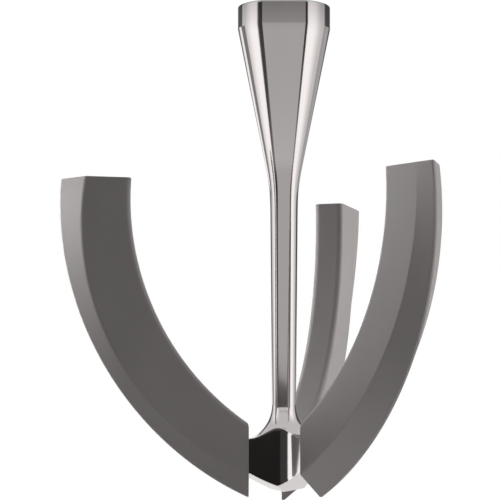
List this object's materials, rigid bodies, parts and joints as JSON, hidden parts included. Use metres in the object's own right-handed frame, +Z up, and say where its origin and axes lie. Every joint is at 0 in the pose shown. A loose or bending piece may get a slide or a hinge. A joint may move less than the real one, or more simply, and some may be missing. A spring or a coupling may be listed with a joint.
{
  "type": "stand mixer flex edge beater",
  "caption": "Polished metal mixer beater with a conical collar and a slim stem that carry three flats, and curved flexible blades whose thin lips wipe the bowl.",
  "frame": {"origin": "on the beater's axis in the plane of the collar's rim, at the mouth of the drive socket", "axes": "+Z up along the axis, out of the drive socket; +X to the right of the picture; +Y away from its viewer"},
  "size_m": [0.1235, 0.1272, 0.1631],
  "materials": {
    "polished_metal": "polished",
    "grey_silicone": "matte"
  },
  "bodies": {
    "root": {"drive_head": "polished_metal", "stem_hub": "polished_metal", "flex_blade_left": "grey_silicone", "flex_blade_right": "grey_silicone", "flex_blade_rear": "grey_silicone"}
  },
  "joints": []
}
